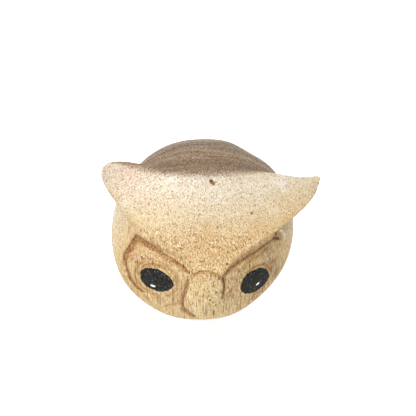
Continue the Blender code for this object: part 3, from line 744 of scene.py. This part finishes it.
def wood_look(centre):
    look = Look("carved_open_pored_wood", 0.46)
    place = look.shift(look.place, tuple(-c / MM for c in centre))
    drift = look.noise(place, (0.07, 0.07, 0.035), 1.0, output=1)
    drift = look.shift(drift, (-0.5, -0.5, -0.5))
    grain = look.shift(place, look.scale(drift, 2.2))
    x, y = look.axes(grain)[:2]

    # Growth bands.
    bend = look.times(look.times(x, x), RING_BEND)
    ring = look.maths("ADD", y, look.times(bend, look.span(y, 5, 13, -1.0, 1.0)))
    position = look.maths("MULTIPLY_ADD", ring, 0.5 / BAND_REACH, 0.5, clamp=True)
    bands = [(0.5 + 0.5 * where / BAND_REACH, wood(*shade)) for where, shade in BANDS]
    look.colour = look.ramp(position, bands)
    heart = look.span(ring, *HEART_STARTS)
    face = look.span(y, *FACE_STARTS)
    line = look.maths("ABSOLUTE", look.maths("SUBTRACT", ring, LINE_AT))
    line = look.times(look.span(line, 0.14, 0.5, 1.0, 0.0), look.span(x, -1, 12, 1.0, 0.12))
    look.coat(line, wood(84, 68, 56))
    # Painted sheen: whitish patches over the top of the forehead, where the soft reflection of the light lies,
    # kept off the heartwood.
    painted_sheen = look.noise(place, (0.22, 0.176, 0.176), 2.0)
    painted_sheen = look.times(look.span(painted_sheen, 0.5, 0.7, 0.0, 0.7), look.span(y, -14, -8))
    painted_sheen = look.times(painted_sheen, look.maths("SUBTRACT", 1.0, heart))
    look.coat(painted_sheen, wood(240, 236, 224))
    fine_rings = look.noise(grain, (0.05, 1.3, 0.05), 3.0, 0.6)
    fine_rings = look.times(look.span(fine_rings, 0.38, 0.68), look.blend(heart, 0.1, 0.44))
    look.coat(fine_rings, (0.30, 0.20, 0.12))
    broad_rings = look.noise(grain, (0.035, 0.42, 0.035), 2.0, 0.6)
    broad_rings = look.times(look.span(broad_rings, 0.36, 0.62), look.blend(heart, 0.08, 0.68))
    look.coat(broad_rings, (0.52, 0.44, 0.37), "MULTIPLY")

    # Marks kept on the mesh: red is cut stain (below 0 the slivers' painted highlight), green gold, blue pink,
    # alpha the dark places, mostly painted shade.
    marks = look.node("ShaderNodeAttribute", attribute_name="marks")
    tints = look.node("ShaderNodeSeparateColor")
    look.put(tints.inputs[0], marks.outputs["Color"])
    stain, gold, pink = tints.outputs[:3]
    dark = marks.outputs["Alpha"]
    clouds = look.noise(place, 0.45, 3.0, 0.6)
    gold = look.times(gold, look.span(clouds, 0.35, 0.65, 0.45, 1.2))
    look.coat(look.times(gold, 0.75), wood(206, 158, 92))
    pink = look.times(pink, look.span(clouds, 0.35, 0.6, 0.35, 0.9), clamp=True)
    look.coat(pink, wood(226, 160, 128))
    # Painted shade, with a little real stain near the right eye: the dark places, broken up by the clouds.
    shade_and_stain_clouds = look.times(dark, look.span(clouds, 0.3, 0.6, 0.5, 0.9))
    look.coat(shade_and_stain_clouds, wood(120, 88, 54))
    ragged_stain = look.noise(grain, (1.6, 1.6, 0.7), 3.0, 0.65)
    stain = look.times(stain, look.span(ragged_stain, 0.3, 0.6, 0.7, 1.15))
    look.coat(look.times(stain, 0.95, clamp=True), wood(192, 142, 76))
    look.coat(look.span(stain, 0.78, 1.12, 0.0, 0.75), wood(142, 94, 46))
    look.coat(look.span(stain, 1.05, 1.4, 0.0, 0.85), wood(78, 60, 44))
    # Painted highlight on the raised slivers, where the stain is below 0.
    look.coat(look.span(stain, -0.7, -0.1, 0.9, 0.0), wood(252, 244, 224))

    # Flecks and fibres. The pale flecks and the bright fibre streaks are grain, partly a painted highlight on the
    # fibre ridges. The pale flecks stay out of the stains and the painted shade.
    flecks = look.noise(grain, (1.7, 1.7, 0.8), 3.0, 0.7)
    fleck_share = look.blend(face, 0.05, 1.0)
    look.coat(look.times(look.span(flecks, 0.5, 0.66, 0.0, 0.62), fleck_share), wood(186, 130, 70))
    # Pale flecks: grain, partly a painted highlight on the fibre ridges.
    pale = look.times(look.span(flecks, 0.36, 0.48, 0.8, 0.0), fleck_share)
    pale = look.times(pale, look.span(stain, 0.15, 0.5, 1.0, 0.1))
    pale = look.times(pale, look.span(dark, 0.2, 0.8, 1.0, 0.2))
    look.coat(pale, wood(252, 236, 200))
    fibres = look.noise(grain, (2.6, 2.6, 0.22), 4.0, 0.65)
    look.coat(look.span(fibres, 0.3, 0.62, 0.55, 0.0), (0.60, 0.44, 0.26), "MULTIPLY")
    speckle = look.noise(grain, (3.4, 2.2, 0.3), 2.0, 0.6)
    speckle = look.times(look.span(speckle, 0.42, 0.55, 1.0, 0.0), look.blend(heart, 0.1, 0.75))
    look.coat(speckle, (0.44, 0.33, 0.24), "MULTIPLY")
    # Painted highlight: the fibre ridges made lighter, as where they catch the light.
    look.coat(look.span(fibres, 0.52, 0.72, 0.0, 0.26), (1.0, 0.96, 0.84), "SCREEN")

    # Vessels run upright: dots on the level faces and streaks on the steep ones, faintest on the forehead.
    pores = None
    for spacing, radius, offset, weight in PORES:
        dots = look.stretch(look.shift(grain, (offset, offset, 0)), (1, PORE_LEAN, 1))
        dots = look.cells(dots, 1 / spacing)
        random = look.axes(dots["Color"])
        wide = look.maths("MULTIPLY_ADD", random[0], 0.9 * radius / spacing, 0.55 * radius / spacing)
        dot = look.span(dots["Distance"], look.times(wide, 0.45), wide, 1.0, 0.0)
        dot = look.times(dot, look.maths("MULTIPLY_ADD", random[1], 0.6 * weight, 0.5 * weight))
        pores = dot if pores is None else look.maths("MAXIMUM", pores, dot)
    broken = look.noise(grain, (0.6, 0.6, 0.11), 1.0)
    pores = look.times(pores, look.span(broken, 0.34, 0.5, 0.4, 1.0))
    pore_share = look.times(pores, look.blend(look.maths("MAXIMUM", face, heart), 0.45, 0.85), clamp=True)
    look.coat(pore_share, look.mix(heart, wood(130, 76, 28), wood(66, 44, 30)))

    look.bump(look.maths("MULTIPLY_ADD", fibres, 0.3, look.times(pores, -0.9)), 0.15 * MM)
    rough = look.span(fibres, 0.3, 0.7, 0.52, 0.42)
    return look.finish(look.colour, look.maths("MULTIPLY_ADD", pores, 0.25, rough))


def eye_look():
    """Satin black brushed over open-pored wood, with a painted highlight on the rims of its pores."""
    look = Look("black_eye_paint", 0.34)
    mottle = look.noise(look.place, (1.6, 1.6, 0.96), 4.0, 0.7)
    dots = look.cells(look.stretch(look.place, (1, 1, 0.35)), 1.2, "3D")["Distance"]
    pits = look.span(dots, 0.08, 0.44, 1.0, 0.0)
    colour = look.mix(look.span(mottle, 0.46, 0.62), paint(0, 3, 7), paint(38, 46, 52))
    # Painted highlight: grey specks in the pore dimples, as where their rims catch the light.
    pit_highlight = look.times(pits, look.span(mottle, 0.42, 0.6, 0.0, 0.8))
    colour = look.mix(pit_highlight, colour, paint(104, 110, 110))
    look.put(look.shader.inputs["Specular IOR Level"], 0.06)
    look.bump(look.maths("MULTIPLY_ADD", mottle, 0.9, look.times(pits, -1.0)), 0.14 * MM)
    return look.finish(colour, look.span(mottle, 0.3, 0.7, 0.3, 0.55))


def dot_look():
    look = Look("white_dot_paint", 0.25)
    mottle = look.noise(look.place, 3.0, 2.0)
    look.bump(mottle, 0.05 * MM, 0.5)
    return look.finish(look.mix(mottle, paint(236, 238, 236), paint(250, 250, 247)))


def metal_look(name, light, dark, roughness):
    """Plated or turned metal: slightly cloudy, with fine scratches round its axis."""
    look = Look(name, roughness, 1.0)
    clouds = look.noise(look.place, 0.5, 3.0, 0.6)
    scratches = look.noise(look.place, (0.6, 0.6, 14), 3.0, 0.7)
    colour = look.mix(look.span(clouds, 0.35, 0.7), light, dark)
    look.bump(scratches, 0.01 * MM, 0.5)
    rough = look.span(clouds, 0.3, 0.7, roughness - 0.1, roughness + 0.1)
    return look.finish(colour, look.maths("MULTIPLY_ADD", scratches, 0.2, rough))


def rubber_look():
    look = Look("gasket_rubber", 0.75)
    grain = look.noise(look.place, 6.0, 4.0, 0.7)
    dust = look.noise(look.place, 1.2, 4.0, 0.7)
    look.bump(grain, 0.04 * MM, 0.7)
    colour = look.mix(look.span(dust, 0.5, 0.75, 0, 0.6), (0.018, 0.018, 0.019), (0.07, 0.066, 0.06))
    return look.finish(colour, look.span(dust, 0.4, 0.7, 0.6, 0.9))


# ------------ the head


def carved_mesh():
    """The carved block as an even mesh, finer along the knife cuts, measured from the ball's centre."""
    bpy.ops.mesh.primitive_ico_sphere_add(subdivisions=7, radius=HEAD_R)
    block = bpy.context.object
    set_points(block.data, carve(get_points(block.data)))
    remesh = block.modifiers.new("Remesh", "REMESH")
    remesh.mode = "VOXEL"
    remesh.voxel_size = VOXEL
    mesh = baked(block)
    drop(block)
    return refined(mesh)


def refined(mesh):
    """Splits the faces near knife cuts in four."""
    uv = chart(get_points(mesh))
    near = np.zeros(len(uv), dtype=bool)
    lines = [(points, left, right) for points, _, left, right, _, _ in CUTS.values()]
    lines += [(points, width, width) for points, _, width in SLIVERS]
    for points, left, right in lines:
        near |= line_closeness(uv, points, left + CUT_MARGIN, right + CUT_MARGIN, fade=NO_FADE) > 0
    for u, v, size in PITS:
        near |= away_from(uv, u, v) < size + PIT_MARGIN
    work = bmesh.new()
    work.from_mesh(mesh)
    edges = [edge for edge in work.edges if near[edge.verts[0].index] and near[edge.verts[1].index]]
    bmesh.ops.subdivide_edges(work, edges=edges, cuts=1, use_grid_fill=True)
    bmesh.ops.triangulate(work, faces=[face for face in work.faces if len(face.verts) > 4])
    work.to_mesh(mesh)
    work.free()
    return mesh


def underside_cutters(centre, insert_box, pin_box):
    """What is taken out below: everything under the flat base, the insert's stepped bore and the pin's hole."""
    base = centre.z - BASE_DROP
    bottom = base - 2 * HEAD_R
    bore = INSERT_R + GAP
    recess = insert_box[1].x + GAP
    shoulder = base + INSERT_FLANGE_T + GAP
    top = insert_box[1].z + GAP
    profile = [(0, top), (bore, top), (bore, shoulder), (recess, shoulder), (recess, base)]
    profile += [(2 * HEAD_R, base), (2 * HEAD_R, bottom), (0, bottom)]
    pin_start = base - 1 * MM
    length = pin_box[1].z + GAP - pin_start
    pin_middle = (pin_box[0] + pin_box[1]) / 2
    pin_middle.z = pin_start + length / 2
    return [turned("base_and_bore", profile), pin_cutter(pin_box, 32, length, pin_middle)]


def pin_cutter(pin_box, sides, length, middle):
    radius = (pin_box[1].x - pin_box[0].x) / 2 + GAP
    bpy.ops.mesh.primitive_cylinder_add(vertices=sides, radius=radius, depth=length, location=middle)
    return bpy.context.object


def turned(name, profile):
    """A solid of revolution about Z from (radius, z) points that run down its outer side."""
    mesh = bpy.data.meshes.new(name)
    lines = [(i, i + 1) for i in range(len(profile) - 1)]
    mesh.from_pydata([(radius, 0, z) for radius, z in profile], lines, [])
    item = placed(name, mesh)
    screw = item.modifiers.new("Screw", "SCREW")
    screw.angle = math.tau
    screw.steps = screw.render_steps = STEPS
    screw.use_merge_vertices = True
    screw.merge_threshold = 0.01 * MM
    return item


def add_marks(mesh, centre):
    """Stores where the wood is stained, where shade is painted and where the slivers are painted lighter, for its
    material.
    """
    points = get_points(mesh) - np.array(centre)
    uv = chart(points)
    stain = np.zeros(len(uv))
    for line, _, left, right, strength, keep in CUTS.values():
        close = line_closeness(uv, line, 1.25 * left + 0.25, 1.15 * right + 0.25, keep)
        stain = np.maximum(stain, strength * smooth_step(close, 0, 0.55))
    for u, v, size in PITS:
        stain = np.maximum(stain, PIT_STAIN * smooth_step(away_from(uv, u, v), 1.3 * size, 0.8 * size))
    for line, _, width in SLIVERS:
        # The slivers get a painted highlight in place of a stain.
        stain = np.where(line_closeness(uv, line, width, width) > 0.25, SLIVER_HIGHLIGHT, stain)
    # The alpha holds the dark places: painted shade, with a little real stain near the right eye.
    values = np.stack([stain, spots(uv, GOLD), spots(uv, PINK), spots(uv, PAINTED_SHADE_AND_STAIN)], axis=1)
    marks = mesh.color_attributes.new("marks", "FLOAT_COLOR", "POINT")
    marks.data.foreach_set("color", values.astype(np.float32).ravel())


def add_head(centre):
    mesh = carved_mesh()
    points, _ = surface(get_points(mesh))
    set_points(mesh, points + np.array(centre))
    mesh = cut_out(mesh, underside_cutters(centre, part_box("threaded_insert"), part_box("locating_pin")))
    smooth(mesh, 50)
    add_marks(mesh, centre)
    add_piece("carved_wooden_head", mesh, "ornament", "owl_head", "carved_wood")


# ------------ painted eyes


def facet_axes(side):
    azimuth, latitude, reach = FACETS[side]
    facing = compass(azimuth, latitude)
    right = np.array([math.cos(azimuth), math.sin(azimuth), 0.0])
    return facing * reach, right, np.cross(facing, right)


def ragged(angle, seed):
    """A brush's uneven edge over open pores, as a share of the radius."""
    waves = ((3, 0.018), (5, 0.015), (9, 0.012), (17, 0.012), (29, 0.009), (47, 0.007))
    return 1 + sum(size * math.sin(count * angle + seed * (1 + count)) for count, size in waves)


def paint_patch(side, centre_place, half, tilt, thickness, seed, rings, columns, rough=1.0):
    """A thin closed film of paint on the carved wood. Returns points from the ball's centre, and faces."""
    middle, right, up = facet_axes(side)
    places = []
    shares = []
    for ring in range(1, rings + 1):
        share = ring / rings
        for i in range(columns):
            angle = math.tau * i / columns
            wobble = 1 + (ragged(angle, seed) - 1) * rough
            a = half[0] * math.cos(angle) * share * wobble
            b = half[1] * math.sin(angle) * share * wobble
            places.append((centre_place[0] + a * math.cos(tilt) - b * math.sin(tilt),
                           centre_place[1] + a * math.sin(tilt) + b * math.cos(tilt)))
            shares.append(share)
    places.append(centre_place)
    shares.append(0.0)
    places = np.array(places) * MM
    shares = np.array(shares)
    points = carve(middle + places[:, :1] * right + places[:, 1:] * up)
    points, outward = surface(points)
    crown = thickness * (1 - shares**6)[:, None] - PAINT_SINK
    top = points + outward * crown
    bottom = points - outward * PAINT_ROOT
    count = len(points)
    faces = grid_faces(rings, columns, False)
    faces += [(i, (i + 1) % columns, count - 1)[::-1] for i in range(columns)]
    under = [tuple(count + i for i in face)[::-1] for face in faces]
    rim = [(rings - 1) * columns + i for i in range(columns)]
    sides = [(b, a, count + a, count + b) for a, b in zip(rim, rim[1:] + rim[:1])]
    return np.concatenate([top, bottom]), faces + under + sides


def add_eye(side, centre):
    eye = EYES[side]
    seed = eye["seed"]
    fine = 2
    tilt = math.radians(eye["tilt"])
    film = paint_patch(side, eye["centre"], eye["half"], tilt, PAINT_T, seed, 20 * fine, 96 * fine)
    add_film(side + "_eye_paint", film, centre, side + "_eye", "black_paint")
    place = tuple(a + b for a, b in zip(eye["centre"], eye["dot"]))
    film = paint_patch(side, place, eye["dot_half"], DOT_TILT, DOT_T, seed + 2, 8, 40, 2.0)
    add_film(side + "_white_dot", film, centre, side + "_glint", "white_paint")


def add_film(name, film, centre, replaced, slot):
    points, faces = film
    mesh = oriented(mesh_from(name, points + np.array(centre), faces))
    add_piece(name, mesh, "ornament", replaced, slot)


def oriented(mesh):
    """Turns a closed mesh's faces outwards and shades it smooth."""
    work = bmesh.new()
    work.from_mesh(mesh)
    bmesh.ops.recalc_face_normals(work, faces=work.faces)
    work.to_mesh(mesh)
    work.free()
    smooth(mesh, 60)
    return mesh


# ------------ fixings


def helix(angle, height, pitch):
    """A right-hand helix: 1 along its line and 0 midway between two turns."""
    phase = height / pitch - angle / math.tau
    return np.abs(2 * (phase - np.floor(phase)) - 1)


def thread(angle, height):
    """How deep an M6 thread is cut, 0 at the crest and 1 at the root."""
    return 1 - np.clip(1.25 * helix(angle, height, PITCH) - 0.125, 0, 1)


def revolved(name, section, angle=35, ring=True, steps=STEPS):
    """A closed turned piece. section(angle) gives its (radius, height) points, up the outside and, where the
    piece is a ring, down the bore."""
    angles = [math.tau * i / steps for i in range(steps)]
    radius, height = np.array([section(a) for a in angles]).transpose(2, 1, 0)
    points = np.stack([radius * np.cos(angles), radius * np.sin(angles), height], axis=2)
    rows = points.shape[0]
    faces = grid_faces(rows, steps, ring)
    if not ring:
        faces.append(tuple(range(steps))[::-1])
        faces.append(tuple((rows - 1) * steps + i for i in range(steps)))
    mesh = mesh_from(name, points.reshape(-1, 3), faces)
    smooth(mesh, angle)
    return mesh


def rounded_ring(outer, inner, bottom, top, radius):
    """A washer's section with rounded corners, running up the outside and down the bore."""
    corners = [(outer - radius, bottom + radius, -90), (outer - radius, top - radius, 0),
               (inner + radius, top - radius, 90), (inner + radius, bottom + radius, 180)]
    points = []
    for r, z, start in corners:
        for step in range(5):
            turn = math.radians(start + 22.5 * step)
            points.append((r + radius * math.cos(turn), z + radius * math.sin(turn)))
    return points


def add_stud():
    low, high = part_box("mounting_stud")
    rows = round((high.z - low.z) / PITCH * THREAD_ROWS)
    heights = np.linspace(low.z, high.z, rows + 1)
    chamfer = THREAD_R - STUD_CHAMFER + np.minimum(heights - low.z, high.z - heights)

    def section(angle):
        radius = THREAD_R - THREAD_DEPTH * thread(angle, heights)
        return np.stack([np.minimum(radius, chamfer), heights], axis=1)

    mesh = revolved("threaded_stud", section, 180, False)
    add_piece("threaded_stud", mesh, "ornament", "mounting_stud", "zinc_steel")


def add_pin():
    low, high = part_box("locating_pin")
    radius = (high.x - low.x) / 2
    chamfer, edge = 0.4 * MM, 0.1 * MM
    rim = [(radius - chamfer, 0), (radius - edge, chamfer), (radius, chamfer + edge)]  # from either end
    profile = [(r, low.z + z) for r, z in rim] + [(r, high.z - z) for r, z in rim[::-1]]
    mesh = revolved("ground_pin", lambda angle: profile, 30, False, 48)
    mesh.transform(Matrix.Translation(((low.x + high.x) / 2, (low.y + high.y) / 2, 0)))
    add_piece("ground_pin", mesh, "ornament", "locating_pin", "zinc_steel")


def bore_rows(low, high):
    """A threaded bore from top to bottom, opened out at both ends."""
    rows = round((high - low) / PITCH * THREAD_ROWS)
    heights = np.linspace(high, low, rows + 1)
    mouth = THREAD_R + BORE_MOUTH - np.minimum(high - heights, heights - low)
    return heights, mouth


def threaded_bore(angle, heights, mouth):
    radius = THREAD_R + THREAD_GAP - THREAD_DEPTH * thread(angle, heights)
    return np.stack([np.maximum(radius, mouth), heights], axis=1)


def add_insert():
    low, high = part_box("threaded_insert")
    flange_r = high.x
    flange_top = low.z + INSERT_FLANGE_T
    rim = 0.2 * MM
    flange = [(flange_r - rim, low.z), (flange_r, low.z + rim)]
    flange += [(flange_r, flange_top - rim), (flange_r - rim, flange_top)]
    heights = np.linspace(flange_top, high.z, 60)
    ends = INSERT_R - 1.2 * MM + np.minimum(heights - flange_top + 0.6 * MM, high.z - heights)
    bore = bore_rows(low.z, high.z)

    def section(angle):
        ridge = np.clip(2.2 * helix(angle, heights, INSERT_PITCH) - 1.1, 0, 1)
        radius = np.minimum(INSERT_R - 0.9 * MM * (1 - ridge), ends)
        return np.concatenate([flange, np.stack([radius, heights], axis=1), threaded_bore(angle, *bore)])

    mesh = revolved("brass_wood_insert", section)
    add_piece("brass_wood_insert", mesh, "ornament", "threaded_insert", "brass")


def add_nut():
    low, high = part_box("hex_nut")
    flats = min(high.x - low.x, high.y - low.y) / 2
    corner = math.pi / 6 if high.x - low.x > high.y - low.y else 0  # where the first flat faces
    chamfer_rows = np.linspace(0, 0.55 * MM, 9)
    heights = np.concatenate([low.z + chamfer_rows, high.z - chamfer_rows[::-1]])
    limit = flats - 0.1 * MM + 1.732 * np.minimum(heights - low.z, high.z - heights)
    bore = bore_rows(low.z, high.z)

    def section(angle):
        turn = (angle - corner + math.pi / 6) % (math.pi / 3) - math.pi / 6
        outside = np.minimum(flats / math.cos(turn), limit)
        return np.concatenate([np.stack([outside, heights], axis=1), threaded_bore(angle, *bore)])

    mesh = revolved("chamfered_hex_nut", section)
    add_piece("chamfered_hex_nut", mesh, "nut", "hex_nut", "zinc_steel")


def add_backing_washer():
    low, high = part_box("backing_washer")
    section = rounded_ring(high.x, WASHER_BORE_R, low.z, high.z, 0.22 * MM)
    mesh = revolved("plated_backing_washer", lambda angle: section, 40)
    add_piece("plated_backing_washer", mesh, "washers", "backing_washer", "zinc_steel")


def add_spring():
    """The split spring washer: a slightly coiled ring with slanted ends."""
    low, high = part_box("spring_washer")
    outer = high.y
    radius, height = np.array(rounded_ring(outer, WASHER_BORE_R, low.z, high.z, 0.25 * MM)).T
    half_split = 0.6 * MM / ((outer + WASHER_BORE_R) / 2)
    coil = 0.08 * MM
    lean = (height - (low.z + high.z) / 2) * math.tan(math.radians(25)) / radius
    angles = np.linspace(half_split, math.tau - half_split, 90)
    points = []
    for angle in angles:
        turn = angle - lean
        lift = coil * (angle - math.pi) / math.pi
        points.append(np.stack([radius * np.cos(turn), radius * np.sin(turn), height + lift], axis=1))
    count = len(radius)
    faces = grid_faces(len(angles), count, False)
    faces.append(tuple(range(count)))
    faces.append(tuple((len(angles) - 1) * count + i for i in range(count))[::-1])
    mesh = oriented(mesh_from("coiled_spring_washer", np.concatenate(points), faces))
    add_piece("coiled_spring_washer", mesh, "washers", "spring_washer", "zinc_steel")


def add_gasket():
    low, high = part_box("base_gasket")
    pin_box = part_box("locating_pin")
    section = rounded_ring(high.x, GASKET_BORE_R, low.z, high.z, 0.35 * MM)
    ring = revolved("moulded_gasket", lambda angle: section, 40, steps=128)
    hole = Vector((0, (pin_box[0].y + pin_box[1].y) / 2, (low.z + high.z) / 2))
    mesh = cut_out(ring, [pin_cutter(pin_box, 48, 6 * MM, hole)])
    smooth(mesh, 40)
    add_piece("moulded_gasket", mesh, "ornament", "base_gasket", "gasket_rubber")


# ------------ studio

SKY_BRIGHT = (-0.34, -0.05, 0.94)  # the sky is brightest towards the upper left
SKY_BASE = 0.66
SKY_GAIN = 0.50
KEY_PLACE = (-0.22, -0.10, 0.66)  # metres from the ball's centre
KEY_SIZE = 0.28
KEY_WATTS = 3.3
# The floor throws back less light than it shows, so that it doesn't wash the face out.
FLOOR_BOUNCE = (0.86, 0.79, 0.66)
FLOOR_LIFT = 0.4  # how much brighter it shows to the camera
CAMERA_FAR = 250 * MM
SENSOR = 36
BALL_SHARE = 0.21514  # the ball's radius as a share of the frame's width
CAMERA_SHIFT = (0.01442, 0.04808)  # puts the head a little above and left of the frame's middle


def add_studio(centre, floor_z):
    scene = bpy.context.scene
    scene.view_settings.view_transform = "Standard"
    scene.world = bpy.data.worlds.new("studio")
    sky = Nodes(scene.world)
    towards = sky.node("ShaderNodeVectorMath", operation="DOT_PRODUCT")
    sky.put(towards.inputs[0], sky.node("ShaderNodeTexCoord").outputs["Generated"])
    sky.put(towards.inputs[1], Vector(SKY_BRIGHT).normalized())
    above = sky.maths("MAXIMUM", towards.outputs["Value"], 0)
    seen = sky.node("ShaderNodeMix", data_type="FLOAT")
    sky.put(seen.inputs[0], sky.node("ShaderNodeLightPath").outputs["Is Camera Ray"])
    sky.put(seen.inputs[2], sky.maths("MULTIPLY_ADD", above, SKY_GAIN, SKY_BASE))
    sky.put(seen.inputs[3], 1)
    background = sky.tree.nodes["Background"]
    sky.put(background.inputs["Color"], (1, 1, 1))
    sky.put(background.inputs["Strength"], seen.outputs[0])

    bpy.ops.mesh.primitive_plane_add(size=6, location=(0, 0, floor_z - 0.2 * MM))
    floor = bpy.context.object
    floor.name = "studio_floor"
    look = Look("pale_floor", 0.9)
    grain = look.noise(look.place, 0.02, 2.0)
    pale = look.mix(grain, (0.93, 0.93, 0.93), (0.95, 0.95, 0.95))
    camera_ray = look.node("ShaderNodeLightPath").outputs["Is Camera Ray"]
    look.put(look.shader.inputs["Emission Color"], (1.0, 1.0, 1.0))
    look.put(look.shader.inputs["Emission Strength"], look.times(camera_ray, FLOOR_LIFT))
    floor.data.materials.append(look.finish(look.mix(camera_ray, FLOOR_BOUNCE, pale)))

    data = bpy.data.lights.new("key", "AREA")
    data.size = KEY_SIZE
    data.energy = KEY_WATTS
    key = placed("key", data)
    key.location = centre + Vector(KEY_PLACE)
    key.rotation_euler = Vector(KEY_PLACE).to_track_quat("Z", "Y").to_euler()


def add_camera(centre):
    """Looks straight down on the forehead."""
    data = bpy.data.cameras.new("camera")
    data.sensor_width = SENSOR
    data.lens = SENSOR * BALL_SHARE * math.sqrt(CAMERA_FAR**2 - HEAD_R**2) / HEAD_R
    data.shift_x, data.shift_y = CAMERA_SHIFT
    data.clip_start = 0.001
    camera = placed("camera", data)
    outward = Vector((0, -math.cos(FOREHEAD_TILT), math.sin(FOREHEAD_TILT)))
    camera.location = centre + CAMERA_FAR * outward
    camera.rotation_euler = outward.to_track_quat("Z", "Y").to_euler()
    bpy.context.scene.camera = camera


# ------------ the whole thing

stud_low, stud_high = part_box("mounting_stud")
centre = (stud_low + stud_high) / 2
centre.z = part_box("owl_head")[0].z + BASE_DROP

LOOKS = {
    "carved_wood": wood_look(centre),
    "black_paint": eye_look(),
    "white_paint": dot_look(),
    "zinc_steel": metal_look("zinc_plate", (0.62, 0.64, 0.67), (0.50, 0.51, 0.50), 0.32),
    "brass": metal_look("turned_brass", (0.80, 0.58, 0.25), (0.62, 0.42, 0.16), 0.3),
    "gasket_rubber": rubber_look(),
}
add_head(centre)
for side in EYES:
    add_eye(side, centre)
add_stud()
add_pin()
add_insert()
add_gasket()
add_backing_washer()
add_spring()
add_nut()
add_studio(centre, cad_box[0].z)
add_camera(centre)
